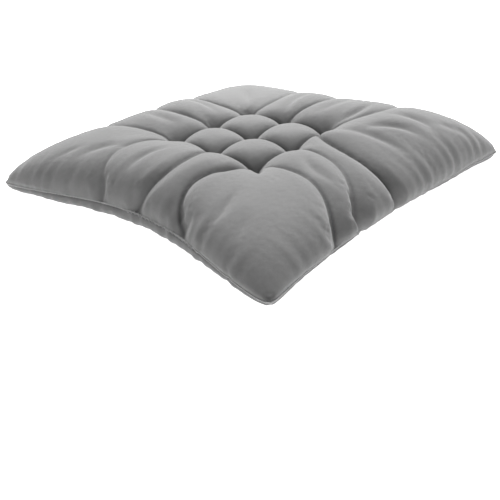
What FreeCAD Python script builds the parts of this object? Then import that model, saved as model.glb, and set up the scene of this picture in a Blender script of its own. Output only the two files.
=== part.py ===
"""A square tufted chair pad: two fabric panels sewn at a knife edge, a fibre filling, nine tufts and four ties.

Millimetres. The pad lies on its underside, with +Z up and the origin at the middle of its footprint. The ties
are sewn into the +Y edge, the one that goes against the chair's back. Left is -X and right is +X.
"""
import FreeCAD, Part
import math
import os

Vector = FreeCAD.Vector

os.makedirs("parts", exist_ok=True)

# ---- driving dimensions -------------------------------------------------------------------------------------
HALF_SPAN = 195.0          # from the centre to a corner tip, along X and along Y
SIDE_PULL = 26.0           # how far the middle of a side is drawn in from the line between its tips
SEAM_LOW = 9.0             # height of the edge seam at a corner tip
SEAM_HIGH = 24.0           # height of the edge seam at the middle of a side
FABRIC = 1.0               # thickness of the cover's cloth
FILL_GAP = 0.4             # clearance between the filling and the cloth
FILL_INSET = 4.0           # the filling stops this far short of the edge seam

CROWN = 40.0               # rise of the top above the edge seam, before the tufts pull it down
CROWN_SHARPNESS = 5.0      # how late the top falls away towards the edge
BASE_SHARPNESS = 10.0      # how late the underside rises towards the edge
BASE_DIP = 3.0             # how far the underside would sag through the surface that flattens it

TUFT_PITCH = 57.5          # spacing of the three by three tufts
TUFT_SIDE_NAMES = ("left", "middle", "right")
TUFT_ROW_NAMES = ("front", "centre", "back")
HOLLOW_DEPTH = 13.0        # broad hollow over the whole tufted middle
HOLLOW_REACH = 88.0
DIMPLE_DEPTH = 13.0        # the pit of one tuft, on top of the hollow and the grooves
DIMPLE_RADIUS = 13.0
GROOVE_DEPTH = 4.5         # valleys between the puffs, running out to the edge
GROOVE_WIDTH = 9.0
UNDER_PIT_DEPTH = 15.0     # the same tuft from below
UNDER_PIT_RADIUS = 13.0

THREAD_R = 0.5             # tufting thread
NEEDLE_HOLE_R = 0.6
STITCH_SPAN = 5.0          # distance between the two legs of a tuft's loop
STITCH_BEND = 1.0          # radius where the loop turns from a leg to the stitch on the cloth
FILL_BORE_R = 4.0          # the fibre parts round the two legs

SEAM_THREAD_R = 0.35
SEAM_THREAD_INSET = 2.6    # the lockstitch runs this far inside the edge
CLOSING_FROM = -90.0       # the turning gap on the left side, closed by hand, along Y
CLOSING_TO = 10.0
CLOSING_PITCH = 5.0
CLOSING_STITCH = 3.6       # length of one hand stitch
CLOSING_THREAD_R = 0.4
CLOSING_SLANT = 60.0       # degrees from the seam

TIE_WIDTH = 8.0
TIE_THICK = 0.8
TIE_ROOT_X = 160.0         # where each pair of ties is sewn into the back edge
TIE_GAP = 0.1              # between the two ties of a pair, and between a tie and the surface it lies on
CORNER_SHARE = 0.45        # share of a straight run that the arc at either end may take
TACK_LENGTH = 11.0
TACK_DEPTH = 1.5
TACK_WALL = 0.7
TACK_CLEAR = 0.1

DEGREE = 3                 # of the spline surfaces
NET = 49                   # control points along each side of a spline surface
NET_CROWDING = 0.4         # how much the control points crowd towards the edge
SEW_TOLERANCE = 0.001      # largest gap closed between faces that meet
ABOVE_ALL = 120.0          # higher than the pad
BELOW_ALL = 20.0           # this far below it
BEYOND_ALL = 260.0         # wider than the pad


# ---- the pad's form -----------------------------------------------------------------------------------------
def plan(u, v, inset=0.0):
    """Plan position of the pad coordinates u and v, which run from -1 to 1 across the pad."""
    reach = HALF_SPAN - inset
    x = u * (reach - SIDE_PULL * (1 - v * v))
    y = v * (reach - SIDE_PULL * (1 - u * u))
    return x, y


def seam_height(u, v):
    """Height of the curved sheet that spans the edge seam."""
    return SEAM_LOW + (SEAM_HIGH - SEAM_LOW) * (1 - u * u * v * v)


def swell(u, v, sharpness):
    """One in the middle of the pad, falling to nothing at the edge seam."""
    across = max(0.0, 1 - abs(u) ** sharpness)
    along = max(0.0, 1 - abs(v) ** sharpness)
    return math.sqrt(across * along)


def tuft_places():
    """Each tuft's name and place."""
    for row, row_name in enumerate(TUFT_ROW_NAMES):
        for column, side_name in enumerate(TUFT_SIDE_NAMES):
            yield f"{row_name}_{side_name}", (column - 1) * TUFT_PITCH, (row - 1) * TUFT_PITCH


def pits(x, y, radius):
    """The sum of one round pit at every tuft."""
    return sum(math.exp(-((x - tx) ** 2 + (y - ty) ** 2) / radius ** 2) for _, tx, ty in tuft_places())


def valleys(x, y):
    """The straight valleys that join the tufts and run on to the edge."""
    lines = (-TUFT_PITCH, 0.0, TUFT_PITCH)
    return sum(math.exp(-((p - line) / GROOVE_WIDTH) ** 2) for p in (x, y) for line in lines)


def top_height(u, v, inset=0.0):
    x, y = plan(u, v, inset)
    rise = CROWN - HOLLOW_DEPTH * math.exp(-(x / HOLLOW_REACH) ** 4 - (y / HOLLOW_REACH) ** 4)
    rise -= GROOVE_DEPTH * valleys(x, y) + DIMPLE_DEPTH * pits(x, y, DIMPLE_RADIUS)
    return seam_height(u, v) + rise * swell(u, v, CROWN_SHARPNESS)


def base_height(u, v, inset=0.0):
    x, y = plan(u, v, inset)
    fall = seam_height(u, v) + BASE_DIP - (UNDER_PIT_DEPTH + BASE_DIP) * pits(x, y, UNDER_PIT_RADIUS)
    return seam_height(u, v) - fall * swell(u, v, BASE_SHARPNESS)


def net_value(index):
    """Pad coordinate of one line of control points, crowded a little towards the edge."""
    t = 2 * index / (NET - 1) - 1
    return (1 - NET_CROWDING) * t + NET_CROWDING * math.sin(math.pi / 2 * t)


def spline_face(height, inset, lift):
    """A smooth face over the pad's plan, with its rim on the seam sheet and the rest moved by lift."""
    poles = []
    for i in range(NET):
        u = net_value(i)
        row = []
        for j in range(NET):
            v = net_value(j)
            x, y = plan(u, v, inset)
            on_rim = i in (0, NET - 1) or j in (0, NET - 1)
            z = seam_height(u, v) if on_rim else height(u, v, inset) + lift
            row.append(Vector(x, y, z))
        poles.append(row)
    spans = NET - DEGREE
    mults = [DEGREE + 1] + [1] * (spans - 1) + [DEGREE + 1]
    knots = [k / spans for k in range(spans + 1)]
    surface = Part.BSplineSurface()
    surface.buildFromPolesMultsKnots(poles, mults, mults, knots, knots, False, False, DEGREE, DEGREE)
    return surface.toShape()


def solid_of(faces):
    """One closed solid from faces that share their edges."""
    shell = Part.Shell(faces)
    shell.sewShape(SEW_TOLERANCE)
    solid = Part.Solid(shell)
    if solid.Volume < 0:
        solid.reverse()
    return solid


def rim_faces(outer, inner):
    """The narrow faces between the rims of two spline faces."""
    return [Part.makeRuledSurface(a, b) for a, b in zip(outer.Edges, inner.Edges)]


def above(level):
    """Everything higher than a level."""
    return Part.makeBox(2 * BEYOND_ALL, 2 * BEYOND_ALL, ABOVE_ALL, Vector(-BEYOND_ALL, -BEYOND_ALL, level))


def seam_point(side, along):
    """A point on the edge seam of one side, at the plan distance along from that side's middle."""
    v = along / HALF_SPAN
    x, y = plan(1.0, v)
    z = seam_height(1.0, v)
    return {
        "right": Vector(x, y, z),
        "left": Vector(-x, y, z),
        "back": Vector(y, x, z),
        "front": Vector(y, -x, z),
    }[side]


# ---- cover and filling --------------------------------------------------------------------------------------
def make_cover():
    """The two cloth panels and the space inside them."""
    top_out = spline_face(top_height, 0.0, 0.0)
    top_in = spline_face(top_height, FABRIC, -FABRIC)
    base_out = spline_face(base_height, 0.0, 0.0)
    base_in = spline_face(base_height, FABRIC, FABRIC)
    envelope = solid_of([top_out, base_out])
    top_panel = solid_of([top_out, top_in] + rim_faces(top_out, top_in))
    skirt = solid_of([base_out, base_in] + rim_faces(base_out, base_in)).common(above(0.0))
    flat = envelope.common(above(0.0)).cut(above(FABRIC))
    bottom_panel = skirt.fuse(flat).removeSplitter()
    return envelope.common(above(0.0)), top_panel, bottom_panel


def make_filling():
    """The fibre filling, flat where the underside lies on something."""
    top = spline_face(top_height, FABRIC + FILL_INSET, -FABRIC - FILL_GAP)
    base = spline_face(base_height, FABRIC + FILL_INSET, FABRIC + FILL_GAP)
    return solid_of([top, base]).common(above(FABRIC + FILL_GAP))


def upright(x, y, radius):
    """A cylinder taller than the pad."""
    return Part.makeCylinder(radius, ABOVE_ALL + BELOW_ALL, Vector(x, y, -BELOW_ALL))


def needle_holes():
    """The two holes of each tuft's loop."""
    half = STITCH_SPAN / 2
    return [upright(x + side * half, y, NEEDLE_HOLE_R) for _, x, y in tuft_places() for side in (-1, 1)]


# ---- threads ------------------------------------------------------------------------------------------------
def heights_at(envelope, x, y):
    """Lowest and highest point of the cover on one upright line."""
    inside = Part.makeLine(Vector(x, y, -BELOW_ALL), Vector(x, y, ABOVE_ALL)).common(envelope)
    return inside.BoundBox.ZMin, inside.BoundBox.ZMax


def rounded_loop(x, y, low, high):
    """An upright loop with round corners, as one closed wire."""
    half = STITCH_SPAN / 2
    corners = [(-half, low), (half, low), (half, high), (-half, high)]
    edges = []
    for index, (cx, cz) in enumerate(corners):
        before, after = corners[index - 1], corners[(index + 1) % 4]
        corner = Vector(x + cx, y, cz)
        towards = (Vector(x + before[0], y, before[1]) - corner).normalize()
        away = (Vector(x + after[0], y, after[1]) - corner).normalize()
        start = corner + towards * STITCH_BEND
        end = corner + away * STITCH_BEND
        middle = corner + (towards + away) * STITCH_BEND * (1 - math.sqrt(0.5))
        edges.append(Part.Arc(start, middle, end).toShape())
    joined = []
    for index, arc in enumerate(edges):
        nearest = edges[(index + 1) % 4]
        joined += [arc, Part.makeLine(arc.Vertexes[-1].Point, nearest.Vertexes[0].Point)]
    return Part.Wire(joined)


def make_tuft_thread(envelope, x, y):
    """A loop of thread through the whole pad, which shows as one short stitch on each face."""
    half = STITCH_SPAN / 2
    spots = [heights_at(envelope, x + step, y) for step in (-half, 0.0, half)]
    low = min(low for low, high in spots) - THREAD_R - TACK_CLEAR
    high = max(high for low, high in spots) + THREAD_R + TACK_CLEAR
    loop = rounded_loop(x, y, low, high)
    start = loop.OrderedVertexes[0].Point
    heading = loop.OrderedEdges[0].tangentAt(loop.OrderedEdges[0].FirstParameter)
    section = Part.Wire(Part.makeCircle(THREAD_R, start, heading))
    return loop.makePipeShell([section], True, False)


def seam_arc(side, start, end):
    """The arc of the edge seam's thread on one side, between two plan distances from its middle."""
    middle = (start + end) / 2
    inward = {"right": Vector(-1, 0, 0), "left": Vector(1, 0, 0), "back": Vector(0, -1, 0), "front": Vector(0, 1, 0)}
    step = inward[side] * SEAM_THREAD_INSET
    points = [seam_point(side, along) + step for along in (start, middle, end)]
    return Part.Arc(*points).toShape()


def round_tube(edge, radius):
    """A round thread along one arc or line."""
    start = edge.valueAt(edge.FirstParameter)
    heading = edge.tangentAt(edge.FirstParameter)
    section = Part.Wire(Part.makeCircle(radius, start, heading))
    return Part.Wire(edge).makePipeShell([section], True, False)


def make_edge_seam():
    """The lockstitch that joins the panels, one length of thread for each straight run of sewing."""
    end = HALF_SPAN - 2 * SEAM_THREAD_INSET
    runs = [("front", -end, end), ("right", -end, end), ("back", -end, end)]
    runs += [("left", -end, CLOSING_FROM), ("left", CLOSING_TO, end)]
    return Part.Compound([round_tube(seam_arc(*run), SEAM_THREAD_R) for run in runs])


def make_closing_seam():
    """Slanted hand stitches that close the turning gap, lying against the edge."""
    stitches = []
    slant = math.radians(CLOSING_SLANT)
    reach = Vector(0, math.cos(slant), math.sin(slant)) * (CLOSING_STITCH / 2)
    count = int((CLOSING_TO - CLOSING_FROM) / CLOSING_PITCH)
    for index in range(count):
        along = CLOSING_FROM + (index + 0.5) * CLOSING_PITCH
        centre = seam_point("left", along) + Vector(-CLOSING_THREAD_R - TACK_CLEAR, 0, 0)
        stitches.append(round_tube(Part.makeLine(centre - reach, centre + reach), CLOSING_THREAD_R))
    return Part.Compound(stitches)


# ---- ties ---------------------------------------------------------------------------------------------------
REST = TIE_THICK / 2 + TIE_GAP     # height of a tie's middle line where it lies on the surface
ROOT = seam_point("back", TIE_ROOT_X)
UPPER = ROOT.z + (TIE_THICK + TIE_GAP) / 2
LOWER = ROOT.z - (TIE_THICK + TIE_GAP) / 2

# Each tie's route from the seam to its cut end: plan points and heights.
TIE_ROUTES = {
    "tie_right_outer": [
        (160, 187, UPPER), (152, 204, 9), (136, 215, 2.4), (116, 215, REST), (98, 206.5, REST),
        (79, 206, REST), (63, 217, REST), (44, 229.5, REST), (22, 242, REST),
    ],
    "tie_right_inner": [
        (160, 187, LOWER), (147, 198, 4.6), (129, 200, REST), (109, 194, REST), (89, 193, REST),
        (69, 200, REST), (50, 208, REST), (29, 221, REST), (9, 233, REST),
    ],
    "tie_left_outer": [
        (-160, 187, UPPER), (-152.5, 204, 8.6), (-137, 213.5, 2.2), (-118, 211.5, REST), (-99, 204.5, REST),
        (-80, 206.5, REST), (-61, 212, REST), (-42, 215, REST), (-23, 219.5, REST), (-4, 230, REST),
    ],
    "tie_left_inner": [
        (-160, 187, LOWER), (-147, 198, 4.6), (-129, 199.5, REST), (-110, 193, REST), (-90, 190.5, REST),
        (-70, 196, REST), (-51, 202, REST), (-31, 205, REST), (-12, 211, REST), (-2, 218.5, REST),
    ],
}


def rounded_route(points):
    """Straight runs joined by arcs that touch them, each as large as its two runs allow."""
    points = [Vector(*p) for p in points]
    edges = []
    last = points[0]
    for before, corner, after in zip(points, points[1:], points[2:]):
        towards = before - corner
        away = after - corner
        cut = CORNER_SHARE * min(towards.Length, away.Length)
        towards.normalize()
        away.normalize()
        turn = math.pi - towards.getAngle(away)
        radius = cut / math.tan(turn / 2)
        start = corner + towards * cut
        end = corner + away * cut
        inward = (towards + away).normalize()
        middle = corner + inward * (math.hypot(cut, radius) - radius)
        edges.append(Part.LineSegment(last, start).toShape())
        edges.append(Part.Arc(start, middle, end).toShape())
        last = end
    edges.append(Part.LineSegment(last, points[-1]).toShape())
    return Part.Wire(edges)


def make_tie(name, points):
    """A flat woven tape that keeps its width level all along its route."""
    route = rounded_route(points)
    heading = (Vector(*points[1]) - Vector(*points[0])).normalize()
    across = Vector(0, 0, 1).cross(heading).normalize() * (TIE_WIDTH / 2)
    up = Vector(0, 0, TIE_THICK / 2)
    root = Vector(*points[0])
    corners = [root + across + up, root - across + up, root - across - up, root + across - up]
    section = Part.makePolygon(corners + corners[:1])
    sweep = Part.BRepOffsetAPI.MakePipeShell(route)
    sweep.setBiNormalMode(Vector(0, 0, 1))
    sweep.add(section)
    sweep.build()
    sweep.makeSolid()
    tape = sweep.shape()
    print(f"{name:28s} length {route.Length:.1f}")
    return tape


def make_tie_tack(side):
    """The dense bar of stitching that holds one pair of ties to the edge seam."""
    centre = Vector(side * TIE_ROOT_X, ROOT.y + TACK_DEPTH / 2, ROOT.z)
    inner_x = TIE_WIDTH + 2 * TACK_CLEAR
    inner_z = 2 * TIE_THICK + 4 * TACK_CLEAR
    outer_z = inner_z + 2 * TACK_WALL
    outer = Part.makeBox(TACK_LENGTH, TACK_DEPTH, outer_z)
    outer.translate(centre - Vector(TACK_LENGTH / 2, TACK_DEPTH / 2, outer_z / 2))
    inner = Part.makeBox(inner_x, TACK_DEPTH, inner_z)
    inner.translate(centre - Vector(inner_x / 2, TACK_DEPTH / 2, inner_z / 2))
    return outer.cut(inner)


# ---- build --------------------------------------------------------------------------------------------------
def save(name, shape):
    box = shape.BoundBox
    print(f"{name:28s} valid {shape.isValid()} solids {len(shape.Solids)} volume {shape.Volume:.0f}"
          f" x {box.XMin:.1f} {box.XMax:.1f} y {box.YMin:.1f} {box.YMax:.1f} z {box.ZMin:.2f} {box.ZMax:.2f}")
    shape.exportStep(f"parts/{name}.step")


def main():
    envelope, top_panel, bottom_panel = make_cover()
    holes = needle_holes()
    save("top_panel", top_panel.cut(holes))
    save("bottom_panel", bottom_panel.cut(holes))
    save("fibre_fill", make_filling().cut([upright(x, y, FILL_BORE_R) for _, x, y in tuft_places()]))
    for name, x, y in tuft_places():
        save(f"tuft_thread_{name}", make_tuft_thread(envelope, x, y))
    save("edge_seam_thread", make_edge_seam())
    save("closing_seam_thread", make_closing_seam())
    for name, points in TIE_ROUTES.items():
        save(name, make_tie(name, points))
    save("tie_tack_left", make_tie_tack(-1))
    save("tie_tack_right", make_tie_tack(1))


main()
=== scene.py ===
"""The looks of a tufted chair pad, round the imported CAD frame.

The pieces are its cloth cover, filling, seams, tufting stitches and ties. Metres, +Z up, the pad lying on its
underside, its ties at the +Y edge. Left is -X and right is +X.
"""
import bpy
import math
import numpy as np
from mathutils import Matrix, Vector


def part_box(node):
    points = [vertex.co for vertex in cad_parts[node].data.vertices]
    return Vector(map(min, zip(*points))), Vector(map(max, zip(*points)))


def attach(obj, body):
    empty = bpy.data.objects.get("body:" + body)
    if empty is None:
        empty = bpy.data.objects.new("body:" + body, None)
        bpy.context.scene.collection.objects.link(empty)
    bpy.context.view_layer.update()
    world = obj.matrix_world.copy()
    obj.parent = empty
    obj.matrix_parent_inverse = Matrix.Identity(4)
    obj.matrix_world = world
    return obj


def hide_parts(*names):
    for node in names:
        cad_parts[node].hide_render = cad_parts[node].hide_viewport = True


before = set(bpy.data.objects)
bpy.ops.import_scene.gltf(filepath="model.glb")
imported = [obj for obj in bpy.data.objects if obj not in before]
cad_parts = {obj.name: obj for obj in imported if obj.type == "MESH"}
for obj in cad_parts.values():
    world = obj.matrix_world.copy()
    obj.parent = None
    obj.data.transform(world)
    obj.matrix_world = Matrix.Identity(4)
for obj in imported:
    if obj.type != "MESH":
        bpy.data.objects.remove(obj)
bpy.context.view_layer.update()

# ---- driving dimensions -------------------------------------------------------------------------------------
PAST_CAD = 0.003           # the lines of two sides would meet this far outside the CAD's corner, along X
CAD_LOOP = 0.0031          # half the width of a tufting thread's loop in the CAD
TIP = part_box("top_panel")[1][0] + PAST_CAD                    # centre to where those lines would meet, along X
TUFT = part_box("tuft_thread_centre_right")[0][0] + CAD_LOOP    # spacing of the tufts
TUFT_UNDER = 0.013         # height of a tuft on the underside
CLOTH = 0.0008             # thickness of the cover's cloth
TIE_WIDTH = 0.008
TIE_THICK = 0.0008
TAPE_RIBS = 9              # ribs across a tape
WEFT = 0.0007              # spacing of a tape's weft
FLAT = 0.4                 # side of a flat panel
WEAVE = 0.0008             # spacing of the cover's threads
FILL_GAP = 0.0026          # the filling lies this far inside the cover
CLOSING = (-0.090, 0.010)  # ends of the closed gap, along Y
CLOSING_STITCHES = 20
SEAM_RIDGE = 0.0006        # radius of the ridge along the seam
SEAM_BEAD = 0.2            # the share by which its stitches thicken it
CLOSING_THREAD = 0.00035   # radius of the thread of the closing stitches
CLOSING_ARC = (0.0011, 0.0009, 0.0017)   # half a closing stitch, along each axis
TUFT_THREAD = 0.0005       # radius of the tufting thread
TUFT_LEGS = 0.0022         # half a tuft stitch
TUFT_APART = 0.0006        # half the distance between its two turns
TUFT_BEND = 0.001          # height of the bend at each end of a tuft stitch
TUFT_PROUD = 0.0006        # a tuft stitch lies this far above the cloth on the top
TUFT_PROUD_UNDER = 0.0003  # and this far below it on the underside
TACK = (0.156, 0.1957, 0.0122)   # middle of the stitches over a pair's outer tie, where it leaves the seam
TACK_STEPS = 12            # stitches in a tack
TACK_ZIGZAG = 0.0006       # half the width of their zigzag
TACK_THREAD = 0.0003       # radius of their thread

# ---- cloth simulation ---------------------------------------------------------------------------------------
SOFT_HOLD = 0.25           # how firmly the filling holds every point of the cloth
EXTRA_MIDDLE = 0.005       # the cloth is cut larger than the form by this share in the middle
EXTRA_RIM = 0.04           # and by this share along the seam
EXTRA_BAND = 14            # cells from the seam over which that changes
BEND = 0.5                 # stiffness of the cloth against bending
PRESSURE = 50              # push of the filling on the cloth
FRAMES = 24                # steps of the simulation
CAP = 0.006                # furthest that the simulation moves a point
GROUND_HALF = 1            # half a side of the ground that the cloth rests on
GROUND_SKIN = 0.001        # the cloth keeps this far above it, and it lies this far below the pad

# ---- small helpers ------------------------------------------------------------------------------------------
def link(name, mesh, material=None):
    """An object for a mesh, smoothly shaded, with one material."""
    piece = bpy.data.objects.new(name, mesh)
    bpy.context.scene.collection.objects.link(piece)
    if material:
        mesh.materials.append(material)
    mesh.polygons.foreach_set("use_smooth", [True] * len(mesh.polygons))
    return piece


def direction(azimuth, elevation):
    """The unit vector from the object towards a place at these angles, in degrees."""
    a, e = math.radians(azimuth), math.radians(elevation)
    return Vector((math.sin(a) * math.cos(e), -math.cos(a) * math.cos(e), math.sin(e)))


def flat_square(name, half, height):
    """One level square face round the origin."""
    mesh = bpy.data.meshes.new(name)
    corners = [(-half, -half, height), (half, -half, height), (half, half, height), (-half, half, height)]
    mesh.from_pydata(corners, [], [(0, 1, 2, 3)])
    return mesh


# ---- camera -------------------------------------------------------------------------------------------------
CAMERA_PLACE = (-46.83, 23.05)   # azimuth and elevation at which the camera stands, in degrees
CAMERA_BACK = (-46.19, 29.37)    # and those of its own axis, pointing back from the pad
CAMERA_DISTANCE = 0.781
CAMERA_ROLL = -3.14              # turn on its own axis, in degrees
CAMERA_LENS = 49.8               # on a sensor 36 mm wide


def make_camera():
    """A camera before the front left corner, low, and turned a little on its own axis."""
    data = bpy.data.cameras.new("camera")
    data.sensor_width = 36.0
    data.lens = CAMERA_LENS
    data.clip_start = 0.01
    camera = bpy.data.objects.new("camera", data)
    bpy.context.scene.collection.objects.link(camera)
    back = direction(*CAMERA_BACK)
    right = Vector((0, 0, 1)).cross(back).normalized()
    level = Matrix((right, back.cross(right), back)).transposed().to_4x4()
    place = Matrix.Translation(direction(*CAMERA_PLACE) * CAMERA_DISTANCE)
    roll = Matrix.Rotation(math.radians(CAMERA_ROLL), 4, "Z")
    camera.matrix_world = place @ level @ roll
    bpy.context.scene.camera = camera


make_camera()

# ---- the ties' routes ---------------------------------------------------------------------------------------
REST = TIE_THICK / 2 + 0.0001   # height of a tie's middle where it lies on the floor
ROOT_Z = 0.0139                 # height at which a pair of ties leaves the seam, one tie on the other
ROOT_GAP = 0.00005              # half the gap between them there
UPPER = ROOT_Z + TIE_THICK / 2 + ROOT_GAP
LOWER = ROOT_Z - TIE_THICK / 2 - ROOT_GAP
TIE_TURNS = (38, -30, 34, -40)  # degrees by which each tie turns on edge along its way
TIE_SWAY = 3.3                  # half waves of that turning from end to end

# Each tie's route from the seam to its cut end.
TIE_ROUTES = {
    "tie_right_outer": [
        (0.160, 0.187, UPPER), (0.152, 0.204, 0.009), (0.136, 0.215, 0.0024), (0.116, 0.215, REST),
        (0.098, 0.2065, REST), (0.079, 0.206, REST), (0.063, 0.217, REST), (0.044, 0.2295, REST),
        (0.022, 0.242, REST),
    ],
    "tie_right_inner": [
        (0.160, 0.187, LOWER), (0.147, 0.198, 0.0046), (0.129, 0.200, REST), (0.109, 0.194, REST),
        (0.089, 0.193, REST), (0.069, 0.200, REST), (0.050, 0.208, REST), (0.029, 0.221, REST),
        (0.009, 0.233, REST),
    ],
    "tie_left_outer": [
        (-0.160, 0.187, UPPER), (-0.1525, 0.204, 0.0086), (-0.137, 0.2135, 0.0022), (-0.118, 0.2115, REST),
        (-0.099, 0.2045, REST), (-0.080, 0.2065, REST), (-0.061, 0.212, REST), (-0.042, 0.215, REST),
        (-0.023, 0.2195, REST), (-0.004, 0.230, REST),
    ],
    "tie_left_inner": [
        (-0.160, 0.187, LOWER), (-0.147, 0.198, 0.0046), (-0.129, 0.1995, REST), (-0.110, 0.193, REST),
        (-0.090, 0.1905, REST), (-0.070, 0.196, REST), (-0.051, 0.202, REST), (-0.031, 0.205, REST),
        (-0.012, 0.211, REST), (-0.002, 0.2185, REST),
    ],
}

# ---- the pad's form -----------------------------------------------------------------------------------------
CELLS = 108                # cloth cells along each side of a panel
SIDES = (-TUFT, 0.0, TUFT)

# One value for each side.
PULL = {"left": 0.031, "right": 0.028, "front": 0.018, "back": 0.028}    # its middle stands in from the tips
LEAN = {"left": 0.15, "right": 0.0, "front": 0.3, "back": 0.0}           # and more so towards its left or front
SEAM = {"left": 0.0165, "right": 0.016, "front": 0.006, "back": 0.018}   # height of the seam in its middle
HANG = {"left": 0.001, "right": 0.006, "front": 0.010, "back": 0.002}    # its lobes hang out over the seam
BELLY = {"left": 0.005, "right": 0.006, "front": 0.002, "back": 0.006}   # its wall below the seam swells out

# Height of the rim's crest, from the right side on, counterclockwise in steps of an eighth of a turn.
CREST = (0.062, 0.050, 0.064, 0.059, 0.063, 0.049, 0.054, 0.067)
SEAM_TIP = 0.008           # height of the seam at a tip
NOSE = 0.004               # a tip is blunted by this much
MIDDLE = 0.053             # height of the puffs between the tufts
MIDDLE_REACH = 0.082       # the tufted middle ends about here
ROUND_SIDE = 5             # how squarely the top falls to the seam in the middle of a side
ROUND_TIP = 4.2            # and towards a tip
ROUND_UNDER = 36           # the underside stays flat nearly as far as the seam
TUFT_DEPTH = 0.0175        # a tuft lies this much lower than the puffs
PUFF_BRIDGE = 0.004        # the valley between two puffs is this much shallower midway between its tufts
PUFF_SIDE = 0.0288         # width of each side of that valley
DEEPEST = 0.020            # no crease is deeper than this
UNDER_FOLD = 0.005         # height of the folds between the tufts on the underside
UNDER_REACH = 0.026        # reach of those folds and of a tuft's hollow there
TUFT_REACH = 0.017         # reach of the hollow round a tuft
FOLD = 0.0008              # radius at the bottom of a crease
FOLD_SHADE = 0.0022        # half the width of the painted shade line at the bottom of a crease
CREASE_SHARE = 0.60        # the cloth bridges an outer crease, so it shows this share of its depth
PUFF_SHADE = 0.6           # strength of that painted shade line between two puffs
TUFT_SHADE = 0.004         # radius of the painted shade at the bottom of a tuft
FULL_DEPTH = 0.014         # depth of a crease whose painted shade line is darkest
NOTCH = 0.011              # half the width of the notch that a crease makes over the seam
NOTCH_DEPTH = 0.006        # how far it goes in
PUCKER = 0.0009            # depth of the small puckers along the seam
MERGE = 3                  # how smoothly creases that meet run into each other
CURVE_STEPS = 16           # straight pieces that stand for a crease's curve

# Creases from a tuft out to the seam. Each has three points of its curve, its depth at each, and its widths
# to the left and to the right, as seen from the tuft.
OUTER_CREASES = [
    # left side, from the back
    (((-0.0575, 0.0575), (-0.128, 0.068), (-0.172, 0.047)), (0.015, 0.004, 0.001), (0.040, 0.020)),
    (((-0.0575, 0.0000), (-0.125, -0.014), (-0.168, 0.000)), (0.015, 0.009, 0.011), (0.036, 0.018)),
    (((-0.0575, -0.0575), (-0.132, -0.044), (-0.172, -0.074)), (0.015, 0.015, 0.016), (0.024, 0.028)),
    # front side, from the left
    (((-0.0575, -0.0575), (-0.056, -0.125), (-0.094, -0.182)), (0.015, 0.009, 0.012), (0.040, 0.022)),
    (((0.0000, -0.0575), (-0.018, -0.130), (-0.056, -0.176)), (0.015, 0.008, 0.005), (0.032, 0.028)),
    (((0.0575, -0.0575), (0.024, -0.084), (0.004, -0.176)), (0.015, 0.017, 0.012), (0.026, 0.028)),
    # right side, from the front
    (((0.0575, -0.0575), (0.112, -0.094), (0.172, -0.086)), (0.015, 0.009, 0.003), (0.038, 0.034)),
    (((0.0575, 0.0000), (0.110, -0.010), (0.168, -0.010)), (0.015, 0.011, 0.004), (0.032, 0.030)),
    (((0.0575, 0.0575), (0.102, 0.050), (0.171, 0.060)), (0.015, 0.010, 0.004), (0.030, 0.036)),
    # back side, from the right
    (((0.0575, 0.0575), (0.048, 0.115), (0.062, 0.172)), (0.015, 0.013, 0.004), (0.036, 0.026)),
    (((0.0000, 0.0575), (-0.016, 0.105), (-0.008, 0.168)), (0.015, 0.012, 0.004), (0.028, 0.030)),
    (((-0.0575, 0.0575), (-0.072, 0.110), (-0.084, 0.174)), (0.015, 0.010, 0.003), (0.030, 0.038)),
]

# Small folds in the lobes: three points of each, its greatest depth, and its width to either side.
SMALL_FOLDS = [
    ((-0.0575, -0.0575), (-0.066, -0.068), (-0.080, -0.084), 0.009, 0.008),
    ((-0.060, -0.054), (-0.082, -0.050), (-0.104, -0.056), 0.003, 0.010),
    ((0.058, -0.108), (0.082, -0.132), (0.084, -0.160), 0.004, 0.012),
    ((0.100, -0.110), (0.112, -0.138), (0.104, -0.166), 0.004, 0.013),
    ((0.046, -0.078), (0.050, -0.128), (0.052, -0.168), 0.003, 0.012),
    ((-0.012, -0.084), (-0.038, -0.112), (-0.046, -0.150), 0.003, 0.011),
    ((0.120, -0.150), (0.140, -0.168), (0.150, -0.184), 0.003, 0.010),
    ((-0.118, 0.070), (-0.136, 0.092), (-0.166, 0.100), 0.003, 0.013),
    ((-0.100, 0.020), (-0.130, 0.030), (-0.158, 0.024), 0.003, 0.011),
    ((-0.140, 0.110), (-0.156, 0.122), (-0.176, 0.128), 0.002, 0.010),
    ((-0.120, -0.090), (-0.146, -0.100), (-0.168, -0.106), 0.003, 0.012),
    ((-0.140, -0.120), (-0.158, -0.132), (-0.176, -0.138), 0.002, 0.012),
    ((0.074, -0.064), (0.100, -0.074), (0.136, -0.072), 0.003, 0.010),
    ((0.070, 0.010), (0.105, 0.020), (0.140, 0.018), 0.003, 0.012),
    ((0.080, -0.030), (0.110, -0.040), (0.140, -0.038), 0.002, 0.012),
    ((0.020, 0.075), (0.024, 0.105), (0.020, 0.140), 0.003, 0.012),
    ((-0.036, 0.078), (-0.040, 0.110), (-0.036, 0.140), 0.002, 0.012),
    ((0.075, 0.075), (0.100, 0.096), (0.120, 0.120), 0.003, 0.014),
]


def by_side(values, u, v):
    """A value that differs from side to side, at the rim and inwards from it."""
    across = (values["right"] + values["left"] + (values["right"] - values["left"]) * u) / 2
    deep = (values["back"] + values["front"] + (values["back"] - values["front"]) * v) / 2
    share = (u ** 4 + 1e-6) / (u ** 4 + v ** 4 + 2e-6)
    return across * share + deep * (1 - share)


def inset(name, along):
    """How far a side stands in, at a place along it that runs from -1 to 1."""
    sharp = 1 if name == "front" else 2
    return PULL[name] * (1 - along * along) ** sharp * (1 - LEAN[name] * along)


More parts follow.
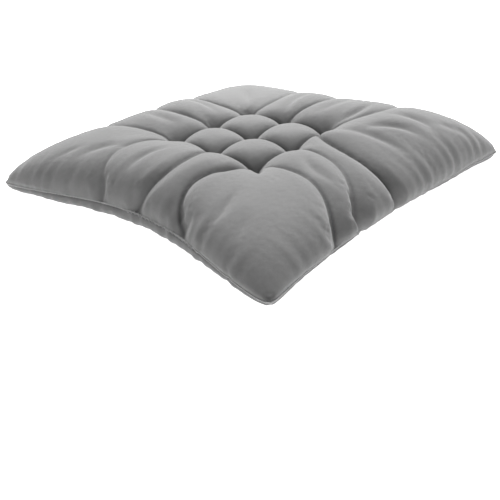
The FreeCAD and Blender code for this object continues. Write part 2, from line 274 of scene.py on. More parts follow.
def crest_height(x, y):
    """Height of the rim's crest in the direction of each place, eased from one eighth turn to the next."""
    turn = (np.arctan2(y, x) / (2 * math.pi) * 8) % 8
    step = np.floor(turn).astype(int) % 8
    ease = (1 - np.cos(math.pi * (turn - np.floor(turn)))) / 2
    heights = np.array(CREST)
    return heights[step] * (1 - ease) + heights[(step + 1) % 8] * ease


def outline(u, v):
    """Plan position of the pad coordinates u and v, which run from -1 to 1."""
    x = u * (TIP - (inset("right", v) * (1 + u) + inset("left", v) * (1 - u)) / 2)
    y = v * (TIP - (inset("back", u) * (1 + v) + inset("front", u) * (1 - v)) / 2)
    blunt = NOSE * np.abs(u * v) ** 20
    return x - np.sign(u) * blunt, y - np.sign(v) * blunt


def seam_height(u, v):
    """Height of the seam in the direction of each place."""
    return SEAM_TIP + (by_side(SEAM, u, v) - SEAM_TIP) * (1 - u * u * v * v)


def swell(u, v, sharpness):
    """One in the middle of the pad, falling to nothing at the seam."""
    return np.sqrt(np.clip(1 - np.abs(u) ** sharpness, 0, 1) * np.clip(1 - np.abs(v) ** sharpness, 0, 1))


def curve_distance(x, y, points):
    """How far along a curve each place's nearest point is, from 0 to 1, and its distance.

    The distance is positive to the left of the curve, and 1 m at most."""
    p0, p1, p2 = (np.array(p) for p in points)
    steps = np.linspace(0, 1, CURVE_STEPS + 1)[:, None]
    curve = (1 - steps) ** 2 * p0 + 2 * steps * (1 - steps) * (2 * p1 - (p0 + p2) / 2) + steps ** 2 * p2
    best = np.full(x.shape, 1.0)
    along = np.zeros(x.shape)
    for k, (start, end) in enumerate(zip(curve, curve[1:])):
        run = end - start
        t = np.clip(((x - start[0]) * run[0] + (y - start[1]) * run[1]) / (run @ run), 0, 1)
        dx, dy = x - start[0] - t * run[0], y - start[1] - t * run[1]
        distance = np.hypot(dx, dy)
        nearer = distance < np.abs(best)
        side = np.where(run[0] * dy - run[1] * dx >= 0, 1.0, -1.0)
        best = np.where(nearer, side * distance, best)
        along = np.where(nearer, (k + t) / CURVE_STEPS, along)
    return along, best


def valley(distance, width):
    """The side of a valley between two round lobes: steep at its line, level at its shoulder."""
    near = np.clip(1 - np.sqrt(distance ** 2 + FOLD ** 2) / width, 0, 1)
    full = 1 - np.sqrt(1 - (1 - FOLD / width) ** 2)
    return (1 - np.sqrt(1 - near ** 2)) / full


def tuft_lines(place):
    """The two lines of tufts at this distance from the middle: each has its ends and its middle."""
    return ((place, -TUFT), (place, 0), (place, TUFT)), ((-TUFT, place), (0, place), (TUFT, place))


def fold_shade(x, y):
    """Painted shade, from 0 to 1: darker along the bottom of creases, between the puffs and at the tufts."""
    shade = np.zeros_like(x)
    for points, depths, widths in OUTER_CREASES:
        t, distance = curve_distance(x, y, points)
        depth = np.interp(t, (0, 0.5, 1), depths) / FULL_DEPTH
        shade = np.maximum(shade, np.exp(-(distance / FOLD_SHADE) ** 2) * depth)
    for p in SIDES:
        for line in tuft_lines(p):
            distance = curve_distance(x, y, line)[1]
            shade = np.maximum(shade, PUFF_SHADE * np.exp(-(distance / FOLD_SHADE) ** 2))
        for q in SIDES:
            shade = np.maximum(shade, np.exp(-(np.hypot(x - p, y - q) / TUFT_SHADE) ** 2))
    return np.minimum(shade, 1)


def creases(x, y):
    """Depth of the creases at each point of the top, and how near a crease to the seam is, from 0 to 1."""
    total = np.zeros_like(x)
    near_seam_crease = np.zeros_like(x)
    for points, depths, (left, right) in OUTER_CREASES:
        t, distance = curve_distance(x, y, points)
        width = np.where(distance > 0, left, right)
        first, middle, last = depths
        deep = np.interp(t, (0, 0.12, 0.5, 1), (first, first * 0.5 + middle * 0.5, middle, last))
        total += (CREASE_SHARE * deep * valley(np.abs(distance), width)) ** MERGE
        near_seam_crease = np.maximum(near_seam_crease, np.clip(1 - np.abs(distance) / NOTCH, 0, 1))
    for p in SIDES:
        for line in tuft_lines(p):
            t, distance = curve_distance(x, y, line)
            deep = TUFT_DEPTH - PUFF_BRIDGE * np.abs(np.sin(2 * math.pi * t))
            total += (deep * valley(np.abs(distance), PUFF_SIDE)) ** MERGE
        for q in SIDES:
            total += (TUFT_DEPTH * np.exp(-np.hypot(x - p, y - q) / TUFT_REACH)) ** MERGE
    depth = total ** (1 / MERGE)
    for *points, deep, width in SMALL_FOLDS:
        t, distance = curve_distance(x, y, points)
        near = np.clip(1 - (distance / width) ** 2, 0, 1)
        across = deep * near ** 2 * np.exp(-np.abs(distance) / width)
        depth = depth + across * np.sin(math.pi * (0.15 + 0.8 * t)) ** 2
    return np.minimum(depth, DEEPEST), near_seam_crease


def top_rise(u, v):
    """How far the top has risen from the seam to its full height, from 0 to 1."""
    return swell(u, v, ROUND_SIDE + (ROUND_TIP - ROUND_SIDE) * u * u * v * v)


def top_height(x, y, u, v):
    """Height of the top."""
    middle = np.exp(-(x ** 4 + y ** 4 - x * x * y * y) / MIDDLE_REACH ** 4)
    crown = crest_height(x, y) * (1 - middle) + MIDDLE * middle - creases(x, y)[0]
    rise = top_rise(u, v)
    return seam_height(u, v) * (1 - rise) + crown * rise


def puckers(x, y):
    """Small uneven waves that run along the seam, from -1 to 1."""
    way = np.where(np.abs(x) > np.abs(y), y, x) + 0.11 * np.sign(x + 2 * y)
    waves = np.sin(way * 331) + np.sin(way * 457 + 1.3) + 0.7 * np.sin(way * 211 + 0.4)
    return waves / 2.7


def outwards(x, y, u, v, out):
    """Moves each place out by this much, square to the side that it is nearest to."""
    share = u ** 4 / (u ** 4 + v ** 4 + 1e-9)
    return x + np.sign(u) * out * share, y + np.sign(v) * out * (1 - share)


def hang(x, y, u, v):
    """Lets the top's lobes hang out over the seam, but not at the creases."""
    bulge = np.sin(math.pi * np.clip(top_rise(u, v), 0, 1) ** 0.7)
    crease = creases(x, y)[1]
    out = (by_side(HANG, u, v) * (1 - crease) - NOTCH_DEPTH * crease) * (1 - (u * v) ** 2)
    out = out * bulge
    out = out + PUCKER * puckers(x, y) * bulge
    return outwards(x, y, u, v, out)


def under_height(x, y, u, v):
    """Height of the underside, whose hollows at the tufts are a little uneven all round."""
    lift = np.zeros_like(x)
    for p in SIDES:
        for line in tuft_lines(p):
            distance = np.abs(curve_distance(x, y, line)[1])
            lift = np.maximum(lift, UNDER_FOLD * valley(distance, UNDER_REACH))
        for q in SIDES:
            angle = np.arctan2(y - q, x - p)
            uneven = 1 + 0.14 * np.sin(7 * angle + 40 * p) + 0.1 * np.sin(4 * angle + 60 * q)
            reach = np.hypot(x - p, y - q) * uneven
            lift = np.maximum(lift, TUFT_UNDER * valley(reach, UNDER_REACH))
    rise = swell(u, v, ROUND_UNDER)
    return seam_height(u, v) * (1 - rise) + lift * rise


def belly(x, y, u, v):
    """Swells the wall of the underside outwards, between the seam and the surface that it rests on."""
    rise = swell(u, v, ROUND_UNDER)
    out = by_side(BELLY, u, v) * (1 + 0.20 * puckers(x, y)) * np.sin(math.pi * np.clip(rise, 0, 1))
    return outwards(x, y, u, v, out * (1 - (u * v) ** 4))


def even(height, a):
    """Turns even steps along the cloth into pad coordinates, by the profile of a section near the middle."""
    u = np.linspace(0, 1, 2001)
    v = np.full_like(u, 0.17)
    x, y = outline(u, v)
    z = height(x, y, u, v)
    length = np.concatenate([[0], np.cumsum(np.hypot(np.diff(x), np.diff(z)))])
    return np.sign(a) * np.interp(np.abs(a), length / length[-1], u)


def plan(a, b, height):
    """Plan position and pad coordinates of the cloth coordinates a and b, which run from -1 to 1."""
    u = a + (even(height, a) - a) * (1 - b ** 4)
    v = b + (even(height, b) - b) * (1 - a ** 4)
    x, y = outline(u, v)
    return x, y, u, v


def panels(cells):
    """Points of the top and of the underside, on a grid of cloth cells, and which are on the rim."""
    line = np.linspace(-1, 1, cells + 1)
    a, b = np.meshgrid(line, line, indexing="ij")
    rim = (np.abs(a) == 1) | (np.abs(b) == 1)
    x, y, u, v = plan(a, b, top_height)
    top = np.stack([*hang(x, y, u, v), np.where(rim, seam_height(u, v), top_height(x, y, u, v))], -1)
    x, y, u, v = plan(a, b, under_height)
    under = np.stack([*belly(x, y, u, v), under_height(x, y, u, v)], -1)
    under[rim] = top[rim]
    return top, under, rim


def grid_faces(index):
    """The four corners of every cell of a grid of vertex numbers."""
    return np.stack([index[:-1, :-1], index[1:, :-1], index[1:, 1:], index[:-1, 1:]], -1).reshape(-1, 4)


def closed_cover(top, under, rim):
    """A closed mesh of both panels, joined along the rim, and each panel's vertex numbers."""
    upper = np.arange(rim.size).reshape(rim.shape)
    lower = upper.copy()
    lower[~rim] = rim.size + np.arange((~rim).sum())
    mesh = bpy.data.meshes.new("cover")
    points = np.concatenate([top.reshape(-1, 3), under[~rim]])
    faces = np.concatenate([grid_faces(upper), grid_faces(lower)[:, ::-1]])
    mesh.from_pydata(points.tolist(), [], faces.tolist())
    mesh.update()
    return mesh, upper, lower


def nearest_cell(points, place):
    """Where in a grid of points the one nearest to a place is, in plan."""
    distance = np.hypot(points[..., 0] - place[0], points[..., 1] - place[1])
    return np.unravel_index(np.argmin(distance), distance.shape)


def hold_cloth(cloth, top, under, upper, lower):
    """Holds the cloth softly all over, and fast at its tufts and tips."""
    hold = cloth.vertex_groups.new(name="hold")
    hold.add(list(range(len(cloth.data.vertices))), SOFT_HOLD, "REPLACE")
    for p in SIDES:
        for q in SIDES:
            for points, index in ((top, upper), (under, lower)):
                hold.add([int(index[nearest_cell(points, (p, q))])], 1.0, "REPLACE")
    hold.add([int(upper[i, j]) for i in (0, -1) for j in (0, -1)], 1.0, "REPLACE")


def widen_cloth(cloth, rim, upper, lower):
    """Marks where the cloth is cut larger: most along the seam, and less with each cell from it."""
    wide = cloth.vertex_groups.new(name="wide")
    steps = [np.minimum(np.arange(n), n - 1 - np.arange(n)) for n in rim.shape]
    edge = np.minimum(*np.meshgrid(*steps, indexing="ij"))
    weights = np.clip(1 - (edge - 1) / EXTRA_BAND, 0, 1)
    for numbers, shares in ((upper.reshape(-1), weights.reshape(-1)), (lower[~rim], weights[~rim])):
        for k, weight in zip(numbers, shares):
            wide.add([int(k)], float(weight), "REPLACE")


def add_cloth(cloth):
    """Thin, slack cloth under pressure from inside."""
    cushion = cloth.modifiers.new("cloth", "CLOTH")
    settings = cushion.settings
    settings.quality = 5
    settings.mass = 0.0005
    settings.tension_stiffness = 30
    settings.compression_stiffness = 5
    settings.shear_stiffness = 0.5
    settings.bending_stiffness = BEND
    settings.tension_damping = 5
    settings.compression_damping = 5
    settings.shear_damping = 5
    settings.bending_damping = 0.5
    settings.air_damping = 1
    settings.use_pressure = True
    settings.uniform_pressure_force = PRESSURE
    settings.vertex_group_mass = "hold"
    settings.vertex_group_shrink = "wide"
    settings.shrink_min = -EXTRA_MIDDLE
    settings.shrink_max = -EXTRA_RIM
    settings.effector_weights.gravity = 0
    cushion.collision_settings.use_self_collision = False
    cushion.collision_settings.distance_min = 0.001
    cushion.point_cache.frame_start = 1
    cushion.point_cache.frame_end = FRAMES


def make_ground():
    """What the cloth rests on while it is blown up."""
    ground = link("ground", flat_square("ground", GROUND_HALF, -GROUND_SKIN))
    ground.modifiers.new("ground", "COLLISION")
    ground.collision.thickness_outer = GROUND_SKIN
    ground.collision.cloth_friction = 5
    return ground


def inflate(top, under, rim):
    """Blows the cloth up round its filling, held at its tufts and tips, and gives how far each point goes."""
    mesh, upper, lower = closed_cover(top, under, rim)
    cloth = link("cloth", mesh)
    hold_cloth(cloth, top, under, upper, lower)
    widen_cloth(cloth, rim, upper, lower)
    add_cloth(cloth)
    ground = make_ground()
    for step in range(1, FRAMES + 1):
        bpy.context.scene.frame_set(step)
    settled = cloth.evaluated_get(bpy.context.evaluated_depsgraph_get()).data
    places = np.empty(len(settled.vertices) * 3)
    settled.vertices.foreach_get("co", places)
    places = places.reshape(-1, 3)
    bpy.data.objects.remove(cloth)
    bpy.data.objects.remove(ground)
    bpy.context.scene.frame_set(1)
    return places[upper] - top, places[lower] - under


def capped(shift):
    """No point moves further than CAP."""
    far = np.linalg.norm(shift, axis=-1, keepdims=True)
    return shift * CAP * np.tanh(far / CAP) / np.maximum(far, 1e-9)


def finer(shift):
    """Doubles the number of cells of a grid of shifts."""
    size = 2 * shift.shape[0] - 1
    wide = np.empty((size, shift.shape[1], 3))
    wide[::2] = shift
    wide[1::2] = (shift[:-1] + shift[1:]) / 2
    full = np.empty((size, size, 3))
    full[:, ::2] = wide
    full[:, 1::2] = (wide[:, :-1] + wide[:, 1:]) / 2
    return full


# ---- materials ----------------------------------------------------------------------------------------------
def new_material(name, colour, roughness, sheen):
    """A material with plain values, and its nodes, its links and its shader to add detail to."""
    material = bpy.data.materials.new(name)
    material.use_nodes = True
    nodes, links = material.node_tree.nodes, material.node_tree.links
    shader = nodes["Principled BSDF"]
    shader.inputs["Base Color"].default_value = (*colour, 1)
    shader.inputs["Roughness"].default_value = roughness
    shader.inputs["Specular IOR Level"].default_value = 0.25
    shader.inputs["Sheen Weight"].default_value = sheen
    shader.inputs["Sheen Roughness"].default_value = 0.45
    return material, nodes, links, shader


def noise(nodes, links, place, scale, detail, stretch=(1, 1, 1)):
    """A noise texture in the coordinates of a socket, and its strength from 0 to 1."""
    mapping = nodes.new("ShaderNodeMapping")
    mapping.inputs["Scale"].default_value = stretch
    links.new(place, mapping.inputs["Vector"])
    texture = nodes.new("ShaderNodeTexNoise")
    texture.inputs["Scale"].default_value = scale
    texture.inputs["Detail"].default_value = detail
    links.new(mapping.outputs["Vector"], texture.inputs["Vector"])
    return texture.outputs["Fac"]


def maths(nodes, links, operation, first, second=0.0, third=0.0):
    """One step of arithmetic on numbers or sockets."""
    node = nodes.new("ShaderNodeMath")
    node.operation = operation
    for socket, value in zip(node.inputs, (first, second, third)):
        if isinstance(value, (int, float)):
            socket.default_value = value
        else:
            links.new(value, socket)
    return node.outputs["Value"]


def ripples(nodes, links, place, pace):
    """The sine of a coordinate times its pace."""
    return maths(nodes, links, "SINE", maths(nodes, links, "MULTIPLY", place, pace))


def shades(nodes, links, strength, dark, light):
    """A colour between two greys or tints, by a strength from 0 to 1."""
    ramp = nodes.new("ShaderNodeValToRGB")
    ramp.color_ramp.elements[0].position = 0.25
    ramp.color_ramp.elements[0].color = (*dark, 1)
    ramp.color_ramp.elements[1].position = 0.75
    ramp.color_ramp.elements[1].color = (*light, 1)
    links.new(strength, ramp.inputs["Fac"])
    return ramp.outputs["Color"]


def bumped(nodes, links, shader, height, distance, strength):
    """Adds fine relief to a shader, by a height from 0 to 1."""
    bump = nodes.new("ShaderNodeBump")
    bump.inputs["Distance"].default_value = distance
    bump.inputs["Strength"].default_value = strength
    links.new(height, bump.inputs["Height"])
    links.new(bump.outputs["Normal"], shader.inputs["Normal"])


# painted shade: the near-black that the cloth's colour turns to along the bottom of creases, between puffs and
# at tufts
CLOTH_PAINTED_SHADE = (0.025, 0.025, 0.025)
CLOTH_DARK = (0.150, 0.150, 0.150)
CLOTH_LIGHT = (0.190, 0.190, 0.189)
TAPE_DARK = (0.115, 0.115, 0.12)
TAPE_MIDDLE = (0.16, 0.16, 0.165)
TAPE_LIGHT = (0.2, 0.2, 0.205)
FIBRE_DARK = (0.68, 0.68, 0.66)
FIBRE_MIDDLE = (0.82, 0.82, 0.8)
FIBRE_LIGHT = (0.9, 0.9, 0.88)
SEWING_DARK = (0.28, 0.28, 0.28)
SEWING_LIGHT = (0.46, 0.46, 0.46)
TUFTING_DARK = (0.12, 0.12, 0.12)
TUFTING_LIGHT = (0.24, 0.24, 0.24)


def make_cover_cloth():
    """Brushed microfibre: a fine plain weave under a short nap that lies lighter and darker in patches."""
    material, nodes, links, shader = new_material("cover_cloth", CLOTH_LIGHT, 0.85, 0.3)
    place = nodes.new("ShaderNodeTexCoord")
    solid, flat = place.outputs["Object"], place.outputs["UV"]
    patches = noise(nodes, links, solid, 22, 3)
    nap = noise(nodes, links, solid, 260, 4)
    mixed = maths(nodes, links, "MULTIPLY_ADD", patches, 0.6, maths(nodes, links, "MULTIPLY", nap, 0.4))
    # painted shade: the cloth's colour is darkened towards near-black in the creases, between the puffs and at
    # the tufts, where shade falls
    painted_crease_shade = nodes.new("ShaderNodeAttribute")
    painted_crease_shade.attribute_name = "painted_crease_shade"
    painted_shade_mix = nodes.new("ShaderNodeMix")
    painted_shade_mix.data_type = "RGBA"
    links.new(maths(nodes, links, "MULTIPLY", painted_crease_shade.outputs["Fac"], 0.85), painted_shade_mix.inputs["Factor"])
    links.new(shades(nodes, links, mixed, CLOTH_DARK, CLOTH_LIGHT), painted_shade_mix.inputs["A"])
    painted_shade_mix.inputs["B"].default_value = (*CLOTH_PAINTED_SHADE, 1)
    links.new(painted_shade_mix.outputs["Result"], shader.inputs["Base Color"])
    links.new(maths(nodes, links, "MULTIPLY_ADD", nap, 0.16, 0.78), shader.inputs["Roughness"])
    split = nodes.new("ShaderNodeSeparateXYZ")
    links.new(flat, split.inputs["Vector"])
    pace = 2 * math.pi * FLAT / WEAVE
    warp = ripples(nodes, links, split.outputs["X"], pace)
    weft = ripples(nodes, links, split.outputs["Y"], pace)
    weave = maths(nodes, links, "MULTIPLY", warp, weft)
    fibres = noise(nodes, links, solid, 1400, 3)
    height = maths(nodes, links, "MULTIPLY_ADD", weave, 0.25, maths(nodes, links, "ADD", fibres, nap))
    bumped(nodes, links, shader, height, 0.0004, 0.5)
    return material


def make_thread(name, dark, light):
    """Spun thread: its twist shows as slanting bands."""
    material, nodes, links, shader = new_material(name, light, 0.6, 0.15)
    place = nodes.new("ShaderNodeTexCoord").outputs["Object"]
    bands = nodes.new("ShaderNodeTexWave")
    bands.bands_direction = "DIAGONAL"
    bands.inputs["Scale"].default_value = 420
    bands.inputs["Distortion"].default_value = 1.5
    links.new(place, bands.inputs["Vector"])
    links.new(shades(nodes, links, bands.outputs["Fac"], dark, light), shader.inputs["Base Color"])
    bumped(nodes, links, shader, bands.outputs["Fac"], 0.0002, 0.6)
    return material


def make_tape():
    """Narrow woven tape: ribs along it, crossed by a fine weft, with a little painted shade in its grooves."""
    material, nodes, links, shader = new_material("tie_tape", TAPE_MIDDLE, 0.8, 0.2)
    place = nodes.new("ShaderNodeTexCoord")
    split = nodes.new("ShaderNodeSeparateXYZ")
    links.new(place.outputs["UV"], split.inputs["Vector"])
    ribs = ripples(nodes, links, split.outputs["X"], 2 * math.pi * TAPE_RIBS)
    weft = ripples(nodes, links, split.outputs["Y"], 2 * math.pi / WEFT)
    cross = maths(nodes, links, "MULTIPLY_ADD", maths(nodes, links, "MULTIPLY", ribs, weft), 0.5, 0.5)
    worn = noise(nodes, links, place.outputs["Object"], 90, 3)
    # colour: the weave, darker in its grooves as painted shade, mixed with random tone
    mixed = maths(nodes, links, "MULTIPLY_ADD", cross, 0.4, maths(nodes, links, "MULTIPLY", worn, 0.6))
    links.new(shades(nodes, links, mixed, TAPE_DARK, TAPE_LIGHT), shader.inputs["Base Color"])
    bumped(nodes, links, shader, cross, 0.0003, 0.6)
    return material


def make_fibre():
    """Loose polyester fibre, white and matted."""
    material, nodes, links, shader = new_material("fibre", FIBRE_MIDDLE, 0.95, 0.3)
    place = nodes.new("ShaderNodeTexCoord").outputs["Object"]
    strands = noise(nodes, links, place, 180, 6, (1, 0.3, 1))
    links.new(shades(nodes, links, strands, FIBRE_DARK, FIBRE_LIGHT), shader.inputs["Base Color"])
    bumped(nodes, links, shader, strands, 0.002, 0.8)
    return material


COVER_CLOTH = make_cover_cloth()
SEWING_THREAD = make_thread("sewing_thread", SEWING_DARK, SEWING_LIGHT)
TUFTING_THREAD = make_thread("tufting_thread", TUFTING_DARK, TUFTING_LIGHT)
TIE_TAPE = make_tape()
FIBRE = make_fibre()


# ---- swept pieces -------------------------------------------------------------------------------------------
def sweep(points, section, normal, turns=None, closed=False):
    """Points of a section carried along a line: square to it, level with normal, and turned by turns."""
    line = np.array(points, float)
    if closed:
        tangents = np.roll(line, -1, 0) - np.roll(line, 1, 0)
    else:
        tangents = np.gradient(line, axis=0)
    tangents /= np.linalg.norm(tangents, axis=1, keepdims=True)
    rings = []
    for k, tangent in enumerate(tangents):
        side = np.array(normal, float)
        side -= tangent * (side @ tangent)
        side /= np.linalg.norm(side)
        across = np.cross(tangent, side)
        angle = 0.0 if turns is None else turns[k]
        up = side * math.cos(angle) + across * math.sin(angle)
        wide = np.cross(tangent, up)
        rings.append([line[k] + wide * p + up * q for p, q in section])
    return np.array(rings)


def ring_mesh(name, rings, closed=False):
    """A closed skin over rings of points, with its ends filled unless it runs round."""
    count, size = rings.shape[:2]
    index = np.arange(count * size).reshape(count, size)
    if closed:
        index = np.concatenate([index, index[:1]])
    turned = np.roll(index, -1, axis=1)
    faces = np.stack([index[:-1], turned[:-1], turned[1:], index[1:]], -1).reshape(-1, 4).tolist()
    if not closed:
        faces += [index[0][::-1].tolist(), index[-1].tolist()]
    mesh = bpy.data.meshes.new(name)
    mesh.from_pydata(rings.reshape(-1, 3).tolist(), [], faces)
    mesh.update()
    return mesh


def circle(radius, sides=8):
    """The section of a thread."""
    angles = [k * 2 * math.pi / sides for k in range(sides)]
    return [(radius * math.cos(angle), radius * math.sin(angle)) for angle in angles]


def joined(name, meshes):
    """One mesh of several."""
    points, faces = [], []
    for mesh in meshes:
        base = len(points)
        points += [tuple(v.co) for v in mesh.vertices]
        faces += [[base + k for k in p.vertices] for p in mesh.polygons]
        bpy.data.meshes.remove(mesh)
    whole = bpy.data.meshes.new(name)
    whole.from_pydata(points, [], faces)
    whole.update()
    return whole


def sewn(piece, slot, *nodes):
    """Attaches a piece that rides on the pad to the root body, and hides the CAD nodes that it replaces; its
    slot is not used.
    """
    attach(piece, "root")
    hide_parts(*nodes)
    return piece


# ---- ties ---------------------------------------------------------------------------------------------------
def smooth_route(points):
    """The points of the smooth line that a route's points control."""
    data = bpy.data.curves.new("route", "CURVE")
    data.dimensions = "3D"
    data.resolution_u = 12
    spline = data.splines.new("NURBS")
    spline.points.add(len(points) - 1)
    for point, place in zip(spline.points, points):
        point.co = (*place, 1)
    spline.order_u = 3
    spline.use_endpoint_u = True
    route = bpy.data.objects.new("route", data)
    bpy.context.scene.collection.objects.link(route)
    mesh = bpy.data.meshes.new_from_object(route)
    line = [tuple(v.co) for v in mesh.vertices]
    bpy.data.objects.remove(route)
    bpy.data.meshes.remove(mesh)
    return line


def tape_section():
    """A flat tape with rounded selvedges."""
    half, thick = TIE_WIDTH / 2, TIE_THICK / 2
    edge, mid = half * 0.94, half * 0.5
    upper = [(half, 0), (edge, thick), (mid, thick), (0, thick), (-mid, thick), (-edge, thick)]
    return upper + [(-p, -q) for p, q in upper]


def make_tie(name, points, turn):
    """A limp tape, which turns a little on edge along its way."""
    line = np.array(smooth_route(points))
    way = np.linspace(0, 1, len(line))
    turns = math.radians(turn) * np.sin(math.pi * way) ** 2 * np.sin(TIE_SWAY * math.pi * way)
    section = tape_section()
    lifted = line + np.stack([0 * way, 0 * way, np.abs(np.sin(turns)) * TIE_WIDTH / 2], -1)
    rings = sweep(lifted, section, (0, 0, 1), turns)
    mesh = ring_mesh(name, rings)
    layer = mesh.uv_layers.new(name="tape")
    count = len(section)
    length = np.concatenate([[0], np.cumsum(np.linalg.norm(np.diff(line, axis=0), axis=1))])
    for loop in mesh.loops:
        ring, spot = divmod(loop.vertex_index, count)
        layer.data[loop.index].uv = (section[spot][0] / TIE_WIDTH + 0.5, length[ring])
    tie = sewn(link(name + "_tape", mesh, TIE_TAPE), "tie_tape", name)


def make_tie_tack(side, sign):
    """The zigzag of stitches that holds a pair of ties in the seam."""
    line = []
    for k in range(TACK_STEPS + 1):
        across = (k / TACK_STEPS - 0.5) * TIE_WIDTH
        line.append((sign * TACK[0] + across, TACK[1] + (TACK_ZIGZAG if k % 2 else -TACK_ZIGZAG), TACK[2]))
    mesh = ring_mesh("tack", sweep(line, circle(TACK_THREAD), (0, 0, 1)))
    sewn(link(f"tie_tack_{side}_stitches", mesh, SEWING_THREAD), "sewing_thread", f"tie_tack_{side}")


for (name, points), turn in zip(TIE_ROUTES.items(), TIE_TURNS):
    make_tie(name, points, turn)
make_tie_tack("left", -1)
make_tie_tack("right", 1)

# ---- cover --------------------------------------------------------------------------------------------------
top, under, rim = panels(2 * CELLS)
top_shift, under_shift = inflate(*panels(CELLS))
top = top + finer(capped(top_shift))
under = under + finer(capped(under_shift))
under[..., 2] = np.maximum(under[..., 2], 0)
under[rim] = top[rim]


def make_panel(name, points, upwards):
    """One panel of the cover as a thin shell, with its cloth's grain as UV coordinates."""
    index = np.arange(rim.size).reshape(rim.shape)
    faces = grid_faces(index) if upwards else grid_faces(index)[:, ::-1]
    mesh = bpy.data.meshes.new(name)
    mesh.from_pydata(points.reshape(-1, 3).tolist(), [], faces.tolist())
    steps = [np.linspace(0, 1, n) for n in rim.shape]
    grain = np.stack(np.meshgrid(*steps, indexing="ij"), -1).reshape(-1, 2)
    layer = mesh.uv_layers.new(name="grain")
    layer.data.foreach_set("uv", grain[faces.reshape(-1)].reshape(-1))
    if upwards:
        # painted shade along the creases, between the puffs and at the tufts, for the cloth's colour
        painted_crease_shade = mesh.attributes.new("painted_crease_shade", "FLOAT", "POINT")
        painted_crease_shade.data.foreach_set("value", fold_shade(points[..., 0], points[..., 1]).reshape(-1))
    mesh.update()
    panel = link(name, mesh, COVER_CLOTH)
    shell = panel.modifiers.new("thickness", "SOLIDIFY")
    shell.thickness = CLOTH
    shell.offset = -1
    return panel


def make_filling(top, under, rim):
    """The fibre filling: the form of the cover, a little smaller all round."""
    mesh = closed_cover(top, under, rim)[0]
    places = np.array([v.co[:] for v in mesh.vertices])
    normals = np.array([n.vector[:] for n in mesh.vertex_normals])
    places -= normals * FILL_GAP
    mesh.vertices.foreach_set("co", places.reshape(-1))
    mesh.update()
    return link("filling", mesh, FIBRE)


cover_top = sewn(make_panel("cover_top", top, True), "cover_cloth", "top_panel")
cover_under = sewn(make_panel("cover_under", under, False), "cover_cloth", "bottom_panel")
filling = sewn(make_filling(top[::2, ::2], under[::2, ::2], rim[::2, ::2]), "fibre", "fibre_fill")


# ---- stitching ----------------------------------------------------------------------------------------------
def rim_line():
    """The seam, once round the pad."""
    return np.concatenate([top[0, :-1], top[:-1, -1], top[-1, :0:-1], top[:0:-1, 0]])


def make_edge_seam():
    """The fine ridge where the two panels meet, with a bead for each stitch of the seam."""
    line = rim_line()
    rings = sweep(line, circle(SEAM_RIDGE), (0, 0, 1), closed=True)
    beads = 1 + SEAM_BEAD * np.sin(np.arange(len(line)) * math.pi * 0.9)
    rings = line[:, None] + (rings - line[:, None]) * beads[:, None, None]
    return link("edge_seam", ring_mesh("edge_seam", rings, closed=True), SEWING_THREAD)


def make_closing_stitches():
    """The hand stitches that closed the gap in the seam of the left side."""
    side = top[0]
    stitches = []
    for y in np.linspace(*CLOSING, CLOSING_STITCHES):
        x, z = np.interp(y, side[:, 1], side[:, 0]), np.interp(y, side[:, 1], side[:, 2])
        arc = []
        for k in range(7):
            angle = math.radians(-100 + 200 * k / 6)
            out, sine = math.cos(angle), math.sin(angle)
            arc.append((x - CLOSING_ARC[0] * out, y + CLOSING_ARC[1] * sine, z + CLOSING_ARC[2] * sine))
        stitches.append(ring_mesh("stitch", sweep(arc, circle(CLOSING_THREAD, 6), (0, 1, 0))))
    return link("closing_stitches", joined("closing_stitches", stitches), SEWING_THREAD)


def height_at(points, x, y):
    """Height of the cloth at a place."""
    return float(points[nearest_cell(points, (x, y))][2])


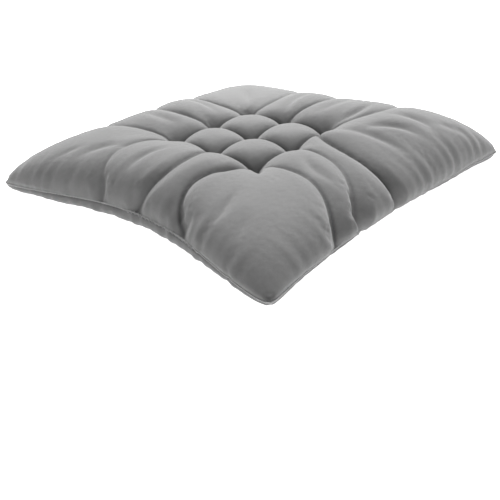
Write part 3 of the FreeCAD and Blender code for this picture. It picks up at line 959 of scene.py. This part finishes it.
def make_tuft_stitch(name, x, y):
    """Two turns of thread right through the pad, drawn tight."""
    low = height_at(under, x, y) - TUFT_PROUD_UNDER
    high = height_at(top, x, y) + TUFT_PROUD
    legs, bend = TUFT_LEGS, TUFT_LEGS * 0.6
    upper = [(-legs, high - TUFT_BEND), (-bend, high), (bend, high), (legs, high - TUFT_BEND)]
    lower = [(legs, low + TUFT_BEND), (bend, low), (-bend, low), (-legs, low + TUFT_BEND)]
    turns = []
    for shift in (-TUFT_APART, TUFT_APART):
        loop = [(x + across, y + shift, z) for across, z in upper + lower]
        turns.append(ring_mesh("turn", sweep(loop, circle(TUFT_THREAD), (0, 1, 0), closed=True), closed=True))
    return link(name, joined(name, turns), TUFTING_THREAD)


sewn(make_edge_seam(), "sewing_thread", "edge_seam_thread")
sewn(make_closing_stitches(), "sewing_thread", "closing_seam_thread")
for row, y in zip(("front", "centre", "back"), SIDES):
    for column, x in zip(("left", "middle", "right"), SIDES):
        node = f"tuft_thread_{row}_{column}"
        sewn(make_tuft_stitch(f"tuft_stitch_{row}_{column}", x, y), "tufting_thread", node)


# ---- stage --------------------------------------------------------------------------------------------------
def make_lamp(name, place, energy, size):
    """A square lamp that faces the pad."""
    data = bpy.data.lights.new(name, "AREA")
    data.energy = energy
    data.size = size
    lamp = bpy.data.objects.new(name, data)
    bpy.context.scene.collection.objects.link(lamp)
    lamp.location = place
    lamp.rotation_euler = (-Vector(place)).to_track_quat("-Z", "Y").to_euler()


FLOOR_HALF = 20            # half a side of the floor
FLOOR_PAINT = (0.9, 0.9, 0.9)
FLOOR_GLOW = 1.1           # the floor is a sheet lit from below, which softens the shadow round the pad
WORLD_LIGHT = 0.35
KEY_PLACE = (0.88, 0.62, 1.05)
KEY_ENERGY = 62
KEY_SIZE = 1.2


def make_stage():
    """A pale floor, white surroundings and one large soft lamp, high behind the pad on its right."""
    mesh = flat_square("floor", FLOOR_HALF, 0)
    paint, _, _, shader = new_material("floor_paint", FLOOR_PAINT, 0.9, 0)
    shader.inputs["Emission Color"].default_value = (1, 1, 1, 1)
    shader.inputs["Emission Strength"].default_value = FLOOR_GLOW
    link("floor", mesh, paint)
    world = bpy.data.worlds.new("studio")
    world.use_nodes = True
    world.node_tree.nodes["Background"].inputs["Color"].default_value = (1, 1, 1, 1)
    world.node_tree.nodes["Background"].inputs["Strength"].default_value = WORLD_LIGHT
    bpy.context.scene.world = world
    bpy.context.scene.view_settings.view_transform = "Standard"
    make_lamp("key", KEY_PLACE, KEY_ENERGY, KEY_SIZE)


make_stage()
